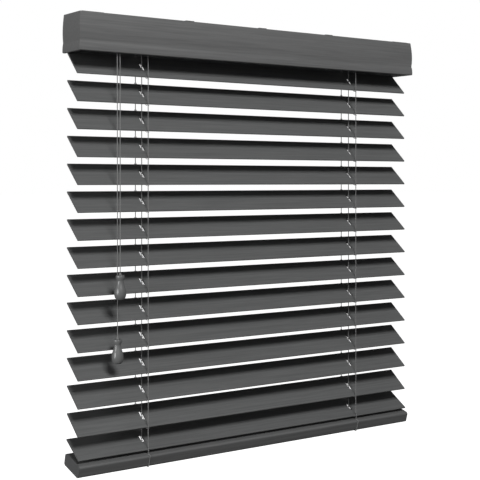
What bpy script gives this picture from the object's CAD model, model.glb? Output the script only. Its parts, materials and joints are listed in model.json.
"""Venetian blind with a moulded valance, fifteen tilting slats, string ladders and two tilt cords.

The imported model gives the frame: bodies, joints and every node's place. This script dresses the nodes,
models the cords, strings and small fittings around them, and sets a plain studio.
All sizes are in metres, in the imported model's own frame: X along the slats, -Y to the room, +Z up.
"""

from __future__ import annotations

import json
import logging
import math
import sys
from dataclasses import dataclass
from enum import Enum
from typing import Any, Callable, Sequence

import bpy
from mathutils import Matrix, Vector

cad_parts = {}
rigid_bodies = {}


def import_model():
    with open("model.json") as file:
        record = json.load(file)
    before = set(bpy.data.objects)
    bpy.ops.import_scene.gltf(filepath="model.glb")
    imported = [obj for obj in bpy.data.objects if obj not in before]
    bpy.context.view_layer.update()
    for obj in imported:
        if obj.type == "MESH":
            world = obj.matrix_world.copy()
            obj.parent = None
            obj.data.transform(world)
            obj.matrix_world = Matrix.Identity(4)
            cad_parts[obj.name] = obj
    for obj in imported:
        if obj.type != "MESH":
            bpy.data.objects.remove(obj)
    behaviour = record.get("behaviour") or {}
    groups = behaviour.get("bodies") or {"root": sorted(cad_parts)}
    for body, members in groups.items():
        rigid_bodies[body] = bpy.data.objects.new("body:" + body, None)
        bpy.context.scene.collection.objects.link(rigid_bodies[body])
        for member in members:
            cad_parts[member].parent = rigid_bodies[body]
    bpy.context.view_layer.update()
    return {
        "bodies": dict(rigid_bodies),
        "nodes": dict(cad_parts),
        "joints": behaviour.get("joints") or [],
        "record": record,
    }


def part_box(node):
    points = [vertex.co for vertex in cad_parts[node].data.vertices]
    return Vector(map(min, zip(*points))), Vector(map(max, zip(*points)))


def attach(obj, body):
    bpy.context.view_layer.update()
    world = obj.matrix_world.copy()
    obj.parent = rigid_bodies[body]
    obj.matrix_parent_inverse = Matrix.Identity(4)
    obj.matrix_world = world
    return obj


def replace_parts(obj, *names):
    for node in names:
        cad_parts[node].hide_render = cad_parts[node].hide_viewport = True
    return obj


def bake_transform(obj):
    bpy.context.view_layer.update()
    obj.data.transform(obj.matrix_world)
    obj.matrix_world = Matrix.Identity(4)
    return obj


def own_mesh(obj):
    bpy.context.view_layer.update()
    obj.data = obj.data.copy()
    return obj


LOG = logging.getLogger("venetian_blind")
MM = 0.001

SLAT_COUNT = 15
SLAT_TILT = math.radians(39)
LAST_SLAT_TILT = math.radians(32)
TOP_TWIST = math.radians(0.85)
TWIST_FROM = 8
RAIL_TILT = math.radians(15)
STRING_REACH = 26.7 * MM
CORD_R = 0.7 * MM

MERGE_REACH = 0.00001
FLAT_ANGLE = math.radians(0.5)
BEVEL_ANGLE = math.radians(40)
MIX_FACTOR, MIX_FIRST, MIX_SECOND, MIX_RESULT = 0, 6, 7, 2

Colour = tuple[float, float, float]
Point = tuple[float, float, float]

SHORT_CORD_MM: list[Point] = [
    (-279.4, -57, -54.6), (-279.6, -57.3, -62), (-279.9, -57.9, -74), (-280.4, -58.8, -92),
    (-281, -60, -116), (-281.7, -61.2, -142), (-282.4, -62.5, -168), (-283.1, -63.8, -194),
    (-283.8, -65.1, -220), (-284.5, -66.4, -246), (-285.2, -67.6, -272), (-285.9, -68.9, -298),
    (-286.6, -70.1, -324), (-287.3, -71.4, -350), (-288, -72.7, -376), (-288.6, -73.7, -396),
    (-289, -74.5, -410), (-289, -74.5, -414),
]
LONG_CORD_MM: list[Point] = [
    (-284.5, -57, -54.6), (-284.6, -57.1, -62), (-284.7, -57.3, -76), (-284.9, -57.7, -98),
    (-285.2, -58.3, -130), (-285.5, -58.9, -162), (-285.8, -59.5, -194), (-286.1, -60.1, -226),
    (-286.4, -60.7, -258), (-286.7, -61.3, -290), (-287, -61.9, -322), (-287.3, -62.5, -354),
    (-287.6, -63.1, -386), (-287.9, -63.7, -418), (-288.2, -64.3, -450), (-288.5, -64.9, -482),
    (-288.8, -65.5, -512), (-288.8, -65.5, -516),
]


# ---- shader graph ----


class Graph:
    """The node tree of one material."""

    def __init__(self, name: str) -> None:
        """Start a material with its Principled shader.

        Args:
            name: the material's name.
        """
        self.material = bpy.data.materials.new(name)
        self.material.use_nodes = True
        self.tree = self.material.node_tree
        self.shader = self.tree.nodes["Principled BSDF"]

    def node(self, kind: str, settings: dict[str, Any] | None = None, **inputs: Any) -> bpy.types.Node:
        """Add a node.

        Args:
            kind: the node's type.
            settings: properties of the node, set before its sockets.
            inputs: values or links by socket name, with _ for a space.

        Returns:
            The new node.
        """
        node = self.tree.nodes.new(kind)
        for key, value in (settings or {}).items():
            setattr(node, key, value)
        for key, value in inputs.items():
            self.feed(node.inputs[key.replace("_", " ")], value)
        return node

    def feed(self, socket: bpy.types.NodeSocket, value: Any) -> None:
        """Set or link a socket.

        Args:
            socket: the input to feed.
            value: a number, a colour, a value or another socket.
        """
        if isinstance(value, Value):
            value = value.socket
        if isinstance(value, bpy.types.NodeSocket):
            self.tree.links.new(value, socket)
        else:
            socket.default_value = value

    def place(self, stretch: Point) -> bpy.types.NodeSocket:
        """Object coordinates, stretched by a factor along each axis.

        Args:
            stretch: the three factors; a high one makes a fine texture.

        Returns:
            The stretched coordinates' socket.
        """
        where = self.node("ShaderNodeTexCoord").outputs["Object"]
        return self.node("ShaderNodeMapping", Vector=where, Scale=stretch).outputs["Vector"]

    def noise(self, vector: bpy.types.NodeSocket, detail: float = 3, roughness: float = 0.5) -> "Value":
        """Noise from 0 to 1 at the scale of its vector.

        Args:
            vector: the coordinates' socket.
            detail: octaves of finer noise.
            roughness: how strong those are.

        Returns:
            The noise.
        """
        settings = {"noise_dimensions": "3D"}
        node = self.node("ShaderNodeTexNoise", settings, Vector=vector, Scale=1.0, Detail=detail,
                         Roughness=roughness)
        return Value(self, node.outputs["Fac"])

    def ramp(self, value: "Value", low: float, high: float) -> "Value":
        """Map a value from low..high to 0..1, smoothly and within those ends.

        Args:
            value: what is mapped.
            low: where the result is 0.
            high: where the result is 1.

        Returns:
            The mapped value.
        """
        node = self.node("ShaderNodeMapRange", {"interpolation_type": "SMOOTHSTEP"})
        for key, number in (("Value", value), ("From Min", low), ("From Max", high)):
            self.feed(node.inputs[key], number)
        return Value(self, node.outputs["Result"])

    def mix(self, amount: "Value", first: Colour, second: Colour) -> bpy.types.NodeSocket:
        """Mix two colours.

        Args:
            amount: 0 for the first colour, 1 for the second.
            first: a linear colour.
            second: a linear colour.

        Returns:
            The mixed colour's socket.
        """
        node = self.node("ShaderNodeMix", {"data_type": "RGBA"})
        self.feed(node.inputs[MIX_FACTOR], amount)
        self.feed(node.inputs[MIX_FIRST], (*first, 1.0))
        self.feed(node.inputs[MIX_SECOND], (*second, 1.0))
        return node.outputs[MIX_RESULT]

    def bump(self, height: "Value", depth: float, strength: float = 1.0) -> None:
        """Feed the shader's normal from a height.

        Args:
            height: from 0 to 1.
            depth: metres that a height of 1 stands.
            strength: how much of the bump is felt.
        """
        node = self.node("ShaderNodeBump", Height=height, Distance=depth, Strength=strength)
        self.feed(self.shader.inputs["Normal"], node.outputs["Normal"])

    def finish(self, colour: Any, roughness: Any, metallic: float = 0.0, **fixed: Any) -> bpy.types.Material:
        """Set the shader's main sockets.

        Args:
            colour: a linear colour or a colour socket.
            roughness: a number or a value.
            metallic: 0 or 1.
            fixed: further socket numbers by name, with _ for a space.

        Returns:
            The finished material.
        """
        self.feed(self.shader.inputs["Base Color"], (*colour, 1.0) if isinstance(colour, tuple) else colour)
        self.feed(self.shader.inputs["Roughness"], roughness)
        self.feed(self.shader.inputs["Metallic"], metallic)
        for key, number in fixed.items():
            self.feed(self.shader.inputs[key.replace("_", " ")], number)
        return self.material


class Value:
    """A number on a socket; Python's operators add Math nodes to it."""

    def __init__(self, graph: Graph, socket: bpy.types.NodeSocket) -> None:
        """Hold the socket of a graph."""
        self.graph = graph
        self.socket = socket

    def math(self, operation: str, *others: Any) -> "Value":
        """Add a Math node.

        Args:
            operation: the Math node's operation.
            others: its second and third numbers.

        Returns:
            The result.
        """
        node = self.graph.node("ShaderNodeMath", {"operation": operation})
        for socket, value in zip(node.inputs, (self, *others)):
            self.graph.feed(socket, value)
        return Value(self.graph, node.outputs[0])

    def __add__(self, other: Any) -> "Value":
        """Sum."""
        return self.math("ADD", other)

    __radd__ = __add__

    def __mul__(self, other: Any) -> "Value":
        """Product."""
        return self.math("MULTIPLY", other)

    __rmul__ = __mul__

    def __sub__(self, other: Any) -> "Value":
        """Difference."""
        return self.math("SUBTRACT", other)

    def __rsub__(self, other: Any) -> "Value":
        """Difference from a number."""
        return (self * -1.0) + other

    def wave(self) -> "Value":
        """Sine, moved to the range 0 to 1."""
        return self.math("SINE") * 0.5 + 0.5


# ---- finishes ----


def tinted(colour: Colour, factor: float) -> Colour:
    """The colour made lighter or darker by a factor."""
    return (colour[0] * factor, colour[1] * factor, colour[2] * factor)


@dataclass(frozen=True)
class EmbossedWood:
    """Painted board with wood grain pressed into it along X."""

    name: str
    colour: Colour
    contrast: float
    depth: float
    roughness: float
    streak_scale: Point = (8, 380, 380)
    fibre_scale: Point = (30, 1300, 1300)
    pore_scale: Point = (60, 1700, 1700)

    def material(self) -> bpy.types.Material:
        """Build the material.

        Returns:
            Grain streaks, pores and a faint wear of the paint on Object coordinates.
        """
        graph = Graph(self.name)
        streak = graph.noise(graph.place(self.streak_scale), 3, 0.55)
        fibre = graph.noise(graph.place(self.fibre_scale), 3, 0.6)
        pore = graph.ramp(graph.noise(graph.place(self.pore_scale), 2, 0.5), 0.6, 0.74)
        tone = graph.ramp(streak * 0.65 + fibre * 0.35, 0.3, 0.7)
        shade = graph.mix(tone * (1.0 - pore * 0.35), tinted(self.colour, 1 - self.contrast),
                          tinted(self.colour, 1 + self.contrast))
        graph.bump(fibre * 0.5 + streak * 0.3 - pore * 0.5, self.depth)
        return graph.finish(shade, fibre * 0.1 + pore * 0.1 + (self.roughness - 0.05))


@dataclass(frozen=True)
class Moulding:
    """Moulded plastic with a fine skin texture."""

    name: str
    colour: Colour
    roughness: float
    grain: float
    skin_scale: Point = (1800, 1800, 1800)
    flow_scale: Point = (45, 45, 45)

    def material(self) -> bpy.types.Material:
        """Build the material.

        Returns:
            A fine skin with slow changes of tone.
        """
        graph = Graph(self.name)
        skin = graph.noise(graph.place(self.skin_scale), 2, 0.5)
        flow = graph.noise(graph.place(self.flow_scale), 3, 0.5)
        shade = graph.mix(flow, tinted(self.colour, 0.9), tinted(self.colour, 1.1))
        graph.bump(skin, self.grain)
        return graph.finish(shade, flow * 0.1 + skin * 0.05 + (self.roughness - 0.07))


@dataclass(frozen=True)
class PowderCoat:
    """Steel sheet under a powder coat."""

    name: str
    colour: Colour
    peel_scale: Point = (650, 650, 650)
    speckle_scale: Point = (2600, 2600, 2600)
    depth: float = 0.00006

    def material(self) -> bpy.types.Material:
        """Build the material.

        Returns:
            A coat with orange-peel bumps and a light speckle.
        """
        graph = Graph(self.name)
        peel = graph.noise(graph.place(self.peel_scale), 2, 0.5)
        speckle = graph.ramp(graph.noise(graph.place(self.speckle_scale), 1, 0.4), 0.45, 0.7)
        shade = graph.mix(speckle, tinted(self.colour, 0.94), tinted(self.colour, 1.12))
        graph.bump(peel, self.depth)
        return graph.finish(shade, peel * 0.1 + 0.36)


@dataclass(frozen=True)
class ZincPlate:
    """Zinc-plated steel with rolling marks along X."""

    name: str
    colour: Colour
    drawn_scale: Point = (25, 2200, 2200)
    patch_scale: Point = (90, 90, 90)
    depth: float = 0.00002

    def material(self) -> bpy.types.Material:
        """Build the material.

        Returns:
            Bright metal with streaks and dull patches.
        """
        graph = Graph(self.name)
        drawn = graph.noise(graph.place(self.drawn_scale), 3, 0.6)
        patch = graph.noise(graph.place(self.patch_scale), 4, 0.6)
        shade = graph.mix(patch, tinted(self.colour, 0.82), tinted(self.colour, 1.1))
        graph.bump(drawn, self.depth)
        return graph.finish(shade, patch * 0.2 + drawn * 0.1 + 0.2, 1.0)


@dataclass(frozen=True)
class Braid:
    """Braided cord, from a UV map that runs once round the cord and along it in metres."""

    name: str
    colour: Colour
    strands: int
    pitch: float
    fuzz_scale: Point = (3000, 3000, 3000)
    depth: float = 0.00018

    def material(self) -> bpy.types.Material:
        """Build the material.

        Returns:
            Two sets of crossing strands with dark gaps and a soft fuzz.
        """
        graph = Graph(self.name)
        where = graph.node("ShaderNodeTexCoord").outputs["UV"]
        parts = graph.node("ShaderNodeSeparateXYZ", Vector=where)
        around = Value(graph, parts.outputs["X"]) * (2 * math.pi * self.strands)
        along = Value(graph, parts.outputs["Y"]) * (2 * math.pi / self.pitch)
        weave = (around + along).wave() * (around - along).wave()
        fuzz = graph.noise(graph.place(self.fuzz_scale), 2, 0.5)
        tone = graph.ramp(weave + fuzz * 0.4, 0.05, 0.85)
        shade = graph.mix(tone, tinted(self.colour, 0.62), tinted(self.colour, 1.16))
        graph.bump(weave + fuzz * 0.3, self.depth)
        return graph.finish(shade, fuzz * 0.1 + 0.7)


class Finish(Enum):
    """The finishes of the blind, by the record's material slots."""

    SLAT = "slat_board"
    VALANCE = "valance_moulding"
    RAIL = "rail_board"
    GREY_PLASTIC = "grey_plastic"
    TASSEL = "tassel_plastic"
    WHITE_PLASTIC = "white_plastic"
    STEEL = "grey_steel"
    ZINC = "zinc_steel"
    CORD = "grey_cord"


RECIPES: dict[Finish, Any] = {
    Finish.SLAT: EmbossedWood("slat_board", (0.102, 0.104, 0.104), 0.16, 0.00006, 0.5),
    Finish.VALANCE: EmbossedWood("valance_moulding", (0.127, 0.128, 0.128), 0.15, 0.00006, 0.46),
    Finish.RAIL: EmbossedWood("rail_board", (0.102, 0.103, 0.103), 0.15, 0.00006, 0.5),
    Finish.GREY_PLASTIC: Moulding("grey_plastic", (0.085, 0.087, 0.088), 0.5, 0.00003),
    Finish.TASSEL: Moulding("tassel_plastic", (0.135, 0.137, 0.137), 0.24, 0.000004),
    Finish.WHITE_PLASTIC: Moulding("white_plastic", (0.72, 0.72, 0.7), 0.4, 0.00001),
    Finish.STEEL: PowderCoat("grey_steel", (0.115, 0.117, 0.12)),
    Finish.ZINC: ZincPlate("zinc_steel", (0.58, 0.59, 0.6)),
    Finish.CORD: Braid("grey_cord", (0.22, 0.22, 0.22), 4, 0.0016),
}


class Wardrobe:
    """Every finish's material, made once and shared."""

    def __init__(self) -> None:
        """Start with no materials."""
        self._made: dict[Finish, bpy.types.Material] = {}

    def dress(self, piece: bpy.types.Object, finish: Finish) -> None:
        """Give a piece the one material of a finish.

        Args:
            piece: the object to dress.
            finish: which finish it gets.
        """
        if finish not in self._made:
            self._made[finish] = RECIPES[finish].material()
        piece.data.materials.clear()
        piece.data.materials.append(self._made[finish])


# ---- modelling helpers ----


def only(piece: bpy.types.Object) -> None:
    """Select one object and make it active."""
    bpy.ops.object.select_all(action="DESELECT")
    piece.select_set(True)
    bpy.context.view_layer.objects.active = piece


def edit(piece: bpy.types.Object, *steps: Callable[[], Any]) -> None:
    """Run operators on all of a piece in edit mode.

    Args:
        piece: the mesh object.
        steps: calls that run one after another.
    """
    only(piece)
    bpy.ops.object.mode_set(mode="EDIT")
    bpy.ops.mesh.select_all(action="SELECT")
    for step in steps:
        step()
    bpy.ops.object.mode_set(mode="OBJECT")


def smooth(piece: bpy.types.Object, degrees: float = 35) -> None:
    """Shade a piece smooth, with its sharp edges kept.

    Args:
        piece: the mesh object.
        degrees: edges sharper than this stay sharp.
    """
    only(piece)
    bpy.ops.object.shade_smooth_by_angle(angle=math.radians(degrees))


def apply_modifiers(piece: bpy.types.Object) -> None:
    """Apply every modifier of a piece."""
    only(piece)
    for modifier in list(piece.modifiers):
        bpy.ops.object.modifier_apply(modifier=modifier.name)


def level(piece: bpy.types.Object) -> None:
    """Weight the shading by face area, so that flat faces look flat beside rounded ones.

    Args:
        piece: the mesh object.
    """
    modifier = piece.modifiers.new("normals", "WEIGHTED_NORMAL")
    modifier.mode = "FACE_AREA"
    modifier.weight = 100
    modifier.keep_sharp = True
    apply_modifiers(piece)


def bevel(piece: bpy.types.Object, width: float, segments: int = 2) -> None:
    """Round a piece's sharp edges.

    Args:
        piece: the mesh object.
        width: width of the bevel.
        segments: how many faces it has.
    """
    modifier = piece.modifiers.new("edges", "BEVEL")
    modifier.width = width
    modifier.segments = segments
    modifier.limit_method = "ANGLE"
    modifier.angle_limit = BEVEL_ANGLE
    apply_modifiers(piece)


def joined(pieces: Sequence[bpy.types.Object], name: str) -> bpy.types.Object:
    """Join meshes into one object.

    Args:
        pieces: the mesh objects.
        name: the name of the result.

    Returns:
        The joined object.
    """
    only(pieces[0])
    for piece in pieces:
        piece.select_set(True)
    bpy.ops.object.join()
    result = bpy.context.view_layer.objects.active
    result.name = name
    result.data.name = name
    return result


def settle(piece: bpy.types.Object, place: Matrix) -> bpy.types.Object:
    """Move a piece's mesh by a matrix, with its object at the origin.

    Args:
        piece: the mesh object.
        place: where the mesh goes.

    Returns:
        The same piece.
    """
    only(piece)
    bpy.ops.object.transform_apply(location=True, rotation=True, scale=True)
    piece.data.transform(place)
    return piece


def rounded(points: Sequence[Vector], radius: float, steps: int = 5) -> list[Vector]:
    """Round the corners of a route.

    Args:
        points: the corners.
        radius: how far before and after a corner the curve runs.
        steps: points on each curve.

    Returns:
        The denser route.
    """
    route = [points[0]]
    for before, corner, after in zip(points, points[1:], points[2:]):
        reach = min(radius, (corner - before).length / 2, (after - corner).length / 2)
        start = corner + (before - corner).normalized() * reach
        end = corner + (after - corner).normalized() * reach
        for k in range(steps + 1):
            t = k / steps
            route.append(start.lerp(corner, t).lerp(corner.lerp(end, t), t))
    route.append(points[-1])
    return route


def tube(name: str, points: Sequence[Vector], radius: float, sides: int = 10) -> bpy.types.Object:
    """Sweep a round cord along a route, with closed ends and a UV map in turns and metres.

    Args:
        name: the object's name.
        points: the middle line.
        radius: the cord's radius.
        sides: faces round the cord.

    Returns:
        The mesh object.
    """
    steps = [(b - a).normalized() for a, b in zip(points, points[1:])]
    headings = [steps[0]] + [(a + b).normalized() for a, b in zip(steps, steps[1:])] + [steps[-1]]
    side = headings[0].orthogonal().normalized()
    corners: list[Vector] = []
    lengths = [0.0]
    for k, (point, heading) in enumerate(zip(points, headings)):
        side = (side - heading * side.dot(heading)).normalized()
        other = heading.cross(side)
        angles = [2 * math.pi * n / sides for n in range(sides)]
        corners += [point + (side * math.cos(a) + other * math.sin(a)) * radius for a in angles]
        if k:
            lengths.append(lengths[-1] + (point - points[k - 1]).length)
    faces = [(k * sides + n, k * sides + (n + 1) % sides,
              (k + 1) * sides + (n + 1) % sides, (k + 1) * sides + n)
             for k in range(len(points) - 1) for n in range(sides)]
    uvs = [uv for k in range(len(points) - 1) for n in range(sides)
           for uv in ((n / sides, lengths[k]), ((n + 1) / sides, lengths[k]),
                      ((n + 1) / sides, lengths[k + 1]), (n / sides, lengths[k + 1]))]
    last = (len(points) - 1) * sides
    faces += [tuple(reversed(range(sides))), tuple(range(last, last + sides))]
    uvs += [(n / sides, 0.0) for n in range(sides)] + [(n / sides, lengths[-1]) for n in range(sides)]
    mesh = bpy.data.meshes.new(name)
    mesh.from_pydata(corners, [], faces)
    layer = mesh.uv_layers.new(name="cord")
    for loop, uv in zip(layer.data, uvs):
        loop.uv = uv
    piece = bpy.data.objects.new(name, mesh)
    bpy.context.scene.collection.objects.link(piece)
    smooth(piece, 60)
    return piece


def knot(name: str, centre: Vector, radius: float) -> bpy.types.Object:
    """A small overhand knot: a lump with two crossing creases.

    Args:
        name: the object's name.
        centre: its middle.
        radius: its greatest radius.

    Returns:
        The mesh object.
    """
    turns, steps, waves = 2, 40, 1.5
    middle, swing, rise, thickness = 0.5, 0.22, 0.55, 0.4
    route = []
    for k in range(steps + 1):
        a = 2 * math.pi * turns * k / steps
        ring = radius * (middle + swing * math.cos(waves * a))
        height = radius * rise * math.sin(waves * a)
        route.append(centre + Vector((ring * math.cos(a), ring * math.sin(a), height)))
    return tube(name, route, radius * thickness, 8)


class Workshop:
    """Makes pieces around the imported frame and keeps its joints' places."""

    def __init__(self, frame: dict[str, Any]) -> None:
        """Hold the loaded frame.
        """
        self.nodes = frame["nodes"]
        self.joints = {joint["name"]: joint for joint in frame["record"]["behaviour"]["joints"]}
        self.slots = {part["node"]: Finish(part["material_slot"]) for part in frame["record"]["subparts"]}
        self.wardrobe = Wardrobe()

    def pivot(self, joint: str) -> Vector:
        """Where a hinge stands."""
        return Vector(self.joints[joint]["pos_m"])

    def travel(self, joint: str) -> float:
        """The longest slide of a joint."""
        return max(abs(end) for end in self.joints[joint]["range_m"])

    def add(self, piece: bpy.types.Object, body: str, finish: Finish) -> bpy.types.Object:
        """Dress a new piece and make it ride on a body.

        Args:
            piece: the mesh object.
            body: the body it moves with.
            finish: its finish.

        Returns:
            The same piece.
        """
        self.wardrobe.dress(piece, finish)
        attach(piece, body)
        LOG.info("%s on %s, %d faces", piece.name, body, len(piece.data.polygons))
        return piece

    def refined(self, node: str, body: str, suffix: str, degrees: float = 35,
                edge: float = 0.0) -> bpy.types.Object:
        """A merged and smoothed copy of a node that stands for it.

        Args:
            node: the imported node.
            body: the body it belongs to.
            suffix: what the copy's name ends with.
            degrees: edges sharper than this stay sharp.
            edge: width of the bevel on sharp edges, or 0 for none.

        Returns:
            The new piece.
        """
        piece = bpy.data.objects.new(f"{node}_{suffix}", self.nodes[node].data.copy())
        bpy.context.scene.collection.objects.link(piece)
        edit(piece, lambda: bpy.ops.mesh.remove_doubles(threshold=MERGE_REACH),
             lambda: bpy.ops.mesh.dissolve_limited(angle_limit=FLAT_ANGLE))
        if edge:
            bevel(piece, edge)
        smooth(piece, degrees)
        level(piece)
        self.add(piece, body, self.slots[node])
        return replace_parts(piece, node)

    def dress_nodes(self) -> None:
        """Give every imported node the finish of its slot."""
        for node, finish in self.slots.items():
            self.wardrobe.dress(self.nodes[node], finish)


# ---- sub-assemblies ----


@dataclass
class Headrail:
    """The steel channel, its brackets and gates, and the valance in front of it."""

    shop: Workshop
    edge: float = 0.25 * MM

    def build(self) -> None:
        """Refine the sheet-metal parts and the valance."""
        for node, body in (("headrail", "headrail"), ("bracket_left", "headrail"),
                           ("bracket_right", "headrail"), ("gate_left", "gate_left"),
                           ("gate_right", "gate_right")):
            self.shop.refined(node, body, "sheet", 35)
        self.shop.refined("valance_board", "headrail", "moulding", 40, self.edge)
        self.shop.refined("valance_returns", "headrail", "moulding", 40, self.edge)
        self.shop.refined("valance_clips", "headrail", "clip", 35, self.edge)


@dataclass
class TiltGear:
    """Rod, rockers, cradles and the cord tilter."""

    shop: Workshop

    def build(self) -> None:
        """Refine the turning parts and their carriers."""
        for node, body in (("tilt_rod", "tilt_shaft"), ("rocker_left", "tilt_shaft"),
                           ("rocker_right", "tilt_shaft"), ("worm_wheel", "tilt_shaft"),
                           ("tilter_worm", "worm"),
                           ("cradles", "headrail"), ("tilter_case", "headrail"),
                           ("roller_left", "roller_left"), ("roller_right", "roller_right")):
            self.shop.refined(node, body, "part", 30)


@dataclass
class SpringMotor:
    """Case, cord spool and spring drum of the cordless lift, with what is wound on them."""

    shop: Workshop
    flange: float = 3 * MM
    cord_turns: int = 5
    steps_in_turn: int = 32
    cheek: float = 1.4 * MM
    slack: float = 2.4 * CORD_R
    layers: int = 9
    layer_step: float = 0.3 * MM
    band_width: float = 8 * MM
    band_gap: float = 0.1 * MM
    band_thickness: float = 0.12 * MM

    def wound_cord(self) -> None:
        """Lay the stored lift cord round its spool."""
        low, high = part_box("cord_spool")
        centre = (low + high) / 2
        core = (high.x - low.x) / 2 - self.flange + CORD_R
        rise = (high.z - low.z) - 2 * self.cheek - self.slack
        steps = self.steps_in_turn * self.cord_turns
        route = []
        for k in range(steps + 1):
            a = 2 * math.pi * self.cord_turns * k / steps
            route.append(centre + Vector((core * math.cos(a), core * math.sin(a), rise * (k / steps - 0.5))))
        self.shop.add(tube("spool_cord", route, CORD_R, 8), "cord_spool", Finish.CORD)

    def wound_spring(self) -> None:
        """Lay the spring band round its drum, one layer on another."""
        low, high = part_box("spring_drum")
        centre = (low + high) / 2
        core = (high.x - low.x) / 2 - self.flange + self.band_gap
        bpy.ops.object.select_all(action="DESELECT")
        bpy.ops.mesh.primitive_circle_add(vertices=64, radius=core, location=centre)
        band = bpy.context.active_object
        band.name = "spring_band"

        def wind(step: int) -> Callable[[], Any]:
            """One layer: an edge loop, moved up or down the band and outwards.

            Args:
                step: the layer's number, from 1.

            Returns:
                A call that lays the layer.
            """
            height = self.band_width if step % 2 else -self.band_width
            ring = (core + self.layer_step * step) / (core + self.layer_step * (step - 1))
            return lambda: (bpy.ops.mesh.extrude_region(),
                            bpy.ops.transform.translate(value=(0, 0, height)),
                            bpy.ops.transform.resize(value=(ring, ring, 1), center_override=centre))

        edit(band, lambda: bpy.ops.transform.translate(value=(0, 0, -self.band_width / 2)),
             *[wind(step) for step in range(1, self.layers + 1)],
             lambda: bpy.ops.mesh.select_all(action="SELECT"))
        modifier = band.modifiers.new("band", "SOLIDIFY")
        modifier.thickness = self.band_thickness
        modifier.offset = 1
        apply_modifiers(band)
        settle(band, Matrix.Identity(4))
        smooth(band, 30)
        self.shop.add(band, "spring_drum", Finish.ZINC)

    def build(self) -> None:
        """Refine the motor's parts and wind cord and spring on them."""
        self.shop.refined("motor_case", "headrail", "shell", 30)
        self.shop.refined("cord_spool", "cord_spool", "part", 30)
        self.shop.refined("spring_drum", "spring_drum", "part", 30)
        self.wound_cord()
        self.wound_spring()


@dataclass
class Slats:
    """The slats, with the ladder rungs that each one lies on."""

    shop: Workshop
    rung_r: float = 0.5 * MM
    rung_offset: float = 1.7 * MM
    rung_gap: float = 0.05 * MM
    rung_bend: float = 1.5 * MM
    half_width: float = 25 * MM
    half_height: float = 1.4 * MM
    nose_depth: float = 0.4 * MM

    def tilt_of(self, number: int) -> float:
        """A slat's tilt at rest, steeper towards the top.

        Args:
            number: the slat's number, from 1 at the top.

        Returns:
            The tilt in radians.
        """
        if number == SLAT_COUNT:
            return LAST_SLAT_TILT
        return SLAT_TILT + TOP_TWIST * max(0, TWIST_FROM - number)

    def rung(self, x: float, tilt: float) -> bpy.types.Object:
        """One rung under a level slat, turned to the slat's tilt about its middle line.

        Args:
            x: where it is along the slat.
            tilt: the slat's tilt.

        Returns:
            The mesh object, about the slat's middle.
        """
        under = -self.half_height - self.rung_r - self.rung_gap
        nose = self.half_width - self.nose_depth
        reach = STRING_REACH * math.cos(SLAT_TILT) / math.cos(tilt) if tilt != SLAT_TILT else STRING_REACH
        corners = [Vector((x, y, z)) for y, z in ((-reach, 0), (-nose, under), (nose, under), (reach, 0))]
        piece = tube("rung", rounded(corners, self.rung_bend), self.rung_r, 6)
        piece.data.transform(Matrix.Rotation(tilt, 4, "X"))
        return piece

    def build(self, stations: Sequence[float]) -> None:
        """Refine every slat and lay it on two rungs at each ladder.

        Args:
            stations: where the ladders are along the slats.
        """
        for number in range(1, SLAT_COUNT + 1):
            name = f"slat_{number:02d}"
            self.shop.refined(name, name, "board", 50)
            spots = [x + side * self.rung_offset for x in stations for side in (-1, 1)]
            rungs = joined([self.rung(x, self.tilt_of(number)) for x in spots], f"rungs_{number:02d}")
            rungs.data.transform(Matrix.Translation(self.shop.pivot(f"tilt_{number:02d}")))
            self.shop.add(rungs, name, Finish.CORD)


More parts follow.
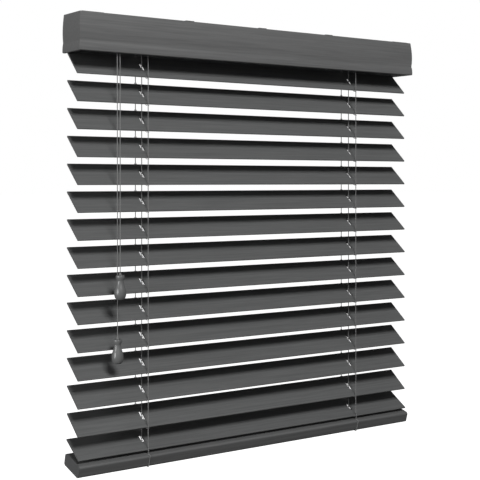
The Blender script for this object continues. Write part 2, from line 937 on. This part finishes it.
@dataclass
class Ladders:
    """The strings that carry the slats' edges, from the rockers to the bottom rail."""

    shop: Workshop
    below_tip: float = 1.3 * MM
    last_edge: float = 23.6 * MM
    rail_edge: float = 20.75 * MM
    rail_half_height: float = 10 * MM
    hidden_front: float = 12 * MM
    hidden_rear: float = 1.5 * MM
    bulge: float = 1.7 * MM
    straight_to: float = 14 * MM
    bulge_from: float = 6 * MM
    bulge_to: float = 7 * MM
    least_end: float = 1 * MM
    bend: float = 5 * MM
    loop_r: float = 1.2 * MM
    loop_wire_r: float = 0.45 * MM
    loop_width: float = 3.6

    def string(self, x: float, side: int) -> bpy.types.Object:
        """One string at rest.

        Args:
            x: the ladder's place along the slats.
            side: -1 for the front, 1 for the rear.

        Returns:
            The mesh object.
        """
        rod = self.shop.pivot("tilt")
        y = rod.y + side * STRING_REACH * math.cos(SLAT_TILT)
        tip = rod.z + side * STRING_REACH * math.sin(SLAT_TILT)
        last = self.shop.pivot(f"tilt_{SLAT_COUNT}")
        rail = self.shop.pivot("rail_tilt")
        edge_z = last.z + side * self.last_edge * math.sin(LAST_SLAT_TILT)
        top_face = (rail.z + side * self.rail_edge * math.tan(RAIL_TILT)
                    + self.rail_half_height / math.cos(RAIL_TILT))
        end = top_face - (self.hidden_front if side < 0 else self.hidden_rear)
        heights = [tip - self.below_tip, edge_z + self.straight_to, edge_z + self.bulge_from]
        route = [Vector((x, y, z)) for z in heights]
        route.append(Vector((x, y + side * self.bulge, edge_z)))
        route.append(Vector((x, y, max(edge_z - self.bulge_to, end + self.least_end))))
        route.append(Vector((x, y, end)))
        return tube("string", rounded(route, self.bend), CORD_R, 8)

    def peg_loop(self, x: float, side: int) -> bpy.types.Object:
        """The loop that holds a string on its rocker peg.

        Args:
            x: the ladder's place along the slats.
            side: -1 for the front, 1 for the rear.

        Returns:
            The mesh object.
        """
        rod = self.shop.pivot("tilt")
        reach = side * STRING_REACH
        tip = rod + Vector((0, reach * math.cos(SLAT_TILT), reach * math.sin(SLAT_TILT)))
        bpy.ops.object.select_all(action="DESELECT")
        bpy.ops.mesh.primitive_torus_add(major_segments=20, minor_segments=8, major_radius=self.loop_r,
                                         minor_radius=self.loop_wire_r, rotation=(0, math.pi / 2, 0))
        loop = bpy.context.active_object
        widened = Matrix.Diagonal((self.loop_width, 1, 1, 1))
        settle(loop, Matrix.Translation(Vector((x, tip.y, tip.z))) @ widened)
        smooth(loop, 60)
        return loop

    def build(self, stations: Sequence[float]) -> None:
        """Make the four strings and their loops.

        Args:
            stations: where the ladders are along the slats.
        """
        drop = self.shop.travel("lift")
        for name, side in (("ladder_front", -1), ("ladder_rear", 1)):
            strings = joined([self.string(x, side) for x in stations], f"{name}_strings")
            heights = [vertex.co.z for vertex in strings.data.vertices]
            top, length = max(heights), max(heights) - min(heights)
            self.shop.add(strings, name, Finish.CORD)
            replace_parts(strings, name)
            (length - drop) / length
            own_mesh(strings)
            loops = joined([self.peg_loop(x, side) for x in stations], f"{name}_loops")
            self.shop.add(loops, name, Finish.CORD)


@dataclass
class LiftCords:
    """The two lift cords, from the motor over the rollers and down through the slats to the rail."""

    shop: Workshop
    roller_turn: float = 5.71 * MM
    inside_motor: float = 6 * MM
    knot_r: float = 2.4 * MM
    steps_down: int = 60

    def cord(self, x: float) -> bpy.types.Object:
        """One cord at rest.

        Args:
            x: its place along the slats.

        Returns:
            The mesh object.
        """
        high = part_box("lift_cord_top")[1]
        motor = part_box("motor_case")
        rail = self.shop.pivot("rail_tilt")
        side = math.copysign(1, x)
        turn = self.roller_turn
        run_z = high.z - CORD_R
        start = Vector((side * (motor[1].x - self.inside_motor), rail.y, run_z))
        before = Vector((x - side * turn, rail.y, run_z))
        arc = [before + Vector((side * turn * math.sin(a), 0, turn * (math.cos(a) - 1)))
               for a in (math.radians(9 * k) for k in range(11))]
        below = [Vector((x, rail.y, z)) for z in self.levels(arc[-1].z, rail.z)]
        return tube("lift_cord", [start, *arc, *below], CORD_R, 10)

    def levels(self, top: float, bottom: float) -> list[float]:
        """Even steps down a cord, so that it shortens smoothly.

        Args:
            top: the height above the first step.
            bottom: the last step's height.

        Returns:
            The steps' heights.
        """
        count = self.steps_down
        return [top + (bottom - top) * k / count for k in range(1, count + 1)]

    def build(self, stations: Sequence[float]) -> None:
        """Make both cords and the knots inside the rail.

        Args:
            stations: where the ladders are along the slats.
        """
        rail = self.shop.pivot("rail_tilt")
        cords = joined([self.cord(x) for x in stations], "lift_cords")
        self.shop.add(cords, "headrail", Finish.CORD)
        cords.parent = None
        nodes = ["lift_cord_top"] + [f"lift_cord_{number:02d}" for number in range(2, SLAT_COUNT + 1)]
        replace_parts(cords, *nodes)
        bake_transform(cords)
        knots = joined([knot("knot", Vector((x, rail.y, rail.z)), self.knot_r) for x in stations],
                       "lift_cord_knots")
        self.shop.add(knots, "lift_end", Finish.CORD)


@dataclass
class BottomRail:
    """The rail, its caps and plugs, and the string ends that wrap round it."""

    shop: Workshop
    half_width: float = 25 * MM
    half_height: float = 10 * MM
    string_y: float = 19.2 * MM
    string_dip: float = 1.2 * MM
    wrap_bend: float = 4.4 * MM
    plug_rim: float = 6.2 * MM
    edge: float = 0.3 * MM

    def wrap(self, x: float, side: int) -> bpy.types.Object:
        """A string's end, from the rail's top face round its edge to the plug.

        Args:
            x: the ladder's place along the rail.
            side: -1 for the front edge, 1 for the rear edge.

        Returns:
            The mesh object, about the rail's middle.
        """
        out = self.half_width + CORD_R
        over = self.half_height + CORD_R
        corners = [(self.string_y, over - self.string_dip), (self.string_y + self.string_dip, over),
                   (out, over), (out, -over), (self.plug_rim, -over)]
        route = rounded([Vector((x, side * y, z)) for y, z in corners], self.wrap_bend, 8)
        return tube("wrap", route, CORD_R, 8)

    def build(self, stations: Sequence[float]) -> None:
        """Refine the rail and wrap the strings round it.

        Args:
            stations: where the ladders are along the rail.
        """
        self.shop.refined("bottom_rail", "bottom_rail", "board", 40)
        self.shop.refined("rail_caps", "bottom_rail", "part", 40, self.edge)
        self.shop.refined("ladder_plugs", "bottom_rail", "part", 40, self.edge)
        wraps = joined([self.wrap(x, side) for x in stations for side in (-1, 1)], "string_ends")
        place = Matrix.Translation(self.shop.pivot("rail_tilt")) @ Matrix.Rotation(RAIL_TILT, 4, "X")
        wraps.data.transform(place)
        self.shop.add(wraps, "bottom_rail", Finish.CORD)


@dataclass
class TiltCords:
    """The two tilt cords and the tassels on them."""

    shop: Workshop
    knot_r: float = 2 * MM
    knot_lift: float = 1.2 * MM

    def hang(self, name: str, points: Sequence[Point]) -> None:
        """Make one cord, its tassel and its knot.

        Args:
            name: short or long.
            points: the cord's route in millimetres.
        """
        path = [Vector(point) * MM for point in points]
        tassel = self.shop.refined(f"tassel_{name}", f"tassel_{name}", "bell", 50)
        top = knot(f"tassel_{name}_knot", path[-1] + Vector((0, 0, self.knot_lift)), self.knot_r)
        self.shop.add(top, f"tassel_{name}", Finish.CORD)
        cord = self.shop.add(tube(f"tilt_cord_{name}_braid", path, CORD_R, 12), "headrail", Finish.CORD)
        cord.parent = None
        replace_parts(cord, f"tilt_cord_{name}")
        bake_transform(cord)

    def build(self) -> None:
        """Hang both cords."""
        self.hang("short", SHORT_CORD_MM)
        self.hang("long", LONG_CORD_MM)


# ---- studio ----


@dataclass
class Studio:
    """Floor, lights, background and camera."""

    floor_z: float = -1.45
    floor_size: float = 160.0
    heading: float = math.radians(-35.4)
    camera_at: Point = (-1.139, -1.5963, -0.2658)
    lens: float = 82.5
    sensor: float = 36.0
    shift_y: float = -0.1227
    aim_z: float = -0.37
    floor_grey: float = 0.85
    floor_roughness: float = 0.9
    floor_glow: float = 1.0
    ambient: float = 0.07

    def camera(self) -> None:
        """A level camera whose shift frames the hanging blind."""
        data = bpy.data.cameras.new("camera")
        data.lens = self.lens
        data.sensor_width = self.sensor
        data.shift_y = self.shift_y
        camera = bpy.data.objects.new("camera", data)
        camera.location = self.camera_at
        camera.rotation_euler = (math.pi / 2, 0, self.heading)
        bpy.context.scene.collection.objects.link(camera)
        bpy.context.scene.camera = camera

    def floor(self) -> None:
        """A pale floor, well under the blind."""
        bpy.ops.object.select_all(action="DESELECT")
        bpy.ops.mesh.primitive_plane_add(size=self.floor_size, location=(0, 0, self.floor_z))
        floor = bpy.context.active_object
        floor.name = "floor"
        graph = Graph("floor")
        grey = (self.floor_grey, self.floor_grey, self.floor_grey)
        paint = graph.finish(grey, self.floor_roughness, Emission_Color=(1, 1, 1, 1),
                             Emission_Strength=self.floor_glow)
        floor.data.materials.append(paint)
        floor.visible_diffuse = False
        floor.visible_glossy = False

    def lamp(self, name: str, azimuth: float, elevation: float, distance: float, size: float,
             power: float) -> None:
        """A square lamp that looks at the blind's middle.

        Args:
            name: the lamp's name.
            azimuth: degrees round from the room side, positive to the right.
            elevation: degrees above the blind's middle.
            distance: metres from there.
            size: side of the square.
            power: watts.
        """
        data = bpy.data.lights.new(name, "AREA")
        data.size = size
        data.energy = power
        lamp = bpy.data.objects.new(name, data)
        a, e = math.radians(azimuth), math.radians(elevation)
        towards = Vector((math.sin(a) * math.cos(e), -math.cos(a) * math.cos(e), math.sin(e)))
        lamp.location = Vector((0, 0, self.aim_z)) + towards * distance
        lamp.rotation_euler = towards.to_track_quat("Z", "Y").to_euler()
        bpy.context.scene.collection.objects.link(lamp)

    def background(self) -> None:
        """White to the camera, and dim as a light so that the lamps shape the slats."""
        world = bpy.data.worlds.new("studio")
        world.use_nodes = True
        bpy.context.scene.world = world
        tree = world.node_tree
        sky = tree.nodes["Background"]
        sky.inputs["Color"].default_value = (1, 1, 1, 1)
        path = tree.nodes.new("ShaderNodeLightPath")
        strength = tree.nodes.new("ShaderNodeMapRange")
        strength.inputs["To Min"].default_value = self.ambient
        strength.inputs["To Max"].default_value = 1.0
        tree.links.new(path.outputs["Is Camera Ray"], strength.inputs["Value"])
        tree.links.new(strength.outputs["Result"], sky.inputs["Strength"])

    def build(self) -> None:
        """Set the whole studio."""
        self.camera()
        self.floor()
        self.background()
        self.lamp("key", azimuth=-9, elevation=43, distance=5.0, size=1.5, power=210)
        self.lamp("side", azimuth=-80, elevation=4, distance=3.2, size=1.6, power=62)
        bpy.context.scene.view_settings.view_transform = "Standard"


def main() -> None:
    """Build the blind around its frame and report each piece."""
    logging.basicConfig(level=logging.INFO, format="%(message)s", stream=sys.stdout)
    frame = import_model()
    Studio().build()
    shop = Workshop(frame)
    shop.dress_nodes()
    ladder_low, ladder_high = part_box("ladder_front")
    stations = (ladder_low.x + CORD_R, ladder_high.x - CORD_R)
    TiltCords(shop).build()
    LiftCords(shop).build(stations)
    Ladders(shop).build(stations)
    Slats(shop).build(stations)
    BottomRail(shop).build(stations)
    Headrail(shop).build()
    TiltGear(shop).build()
    SpringMotor(shop).build()


if __name__ == "__main__":
    main()
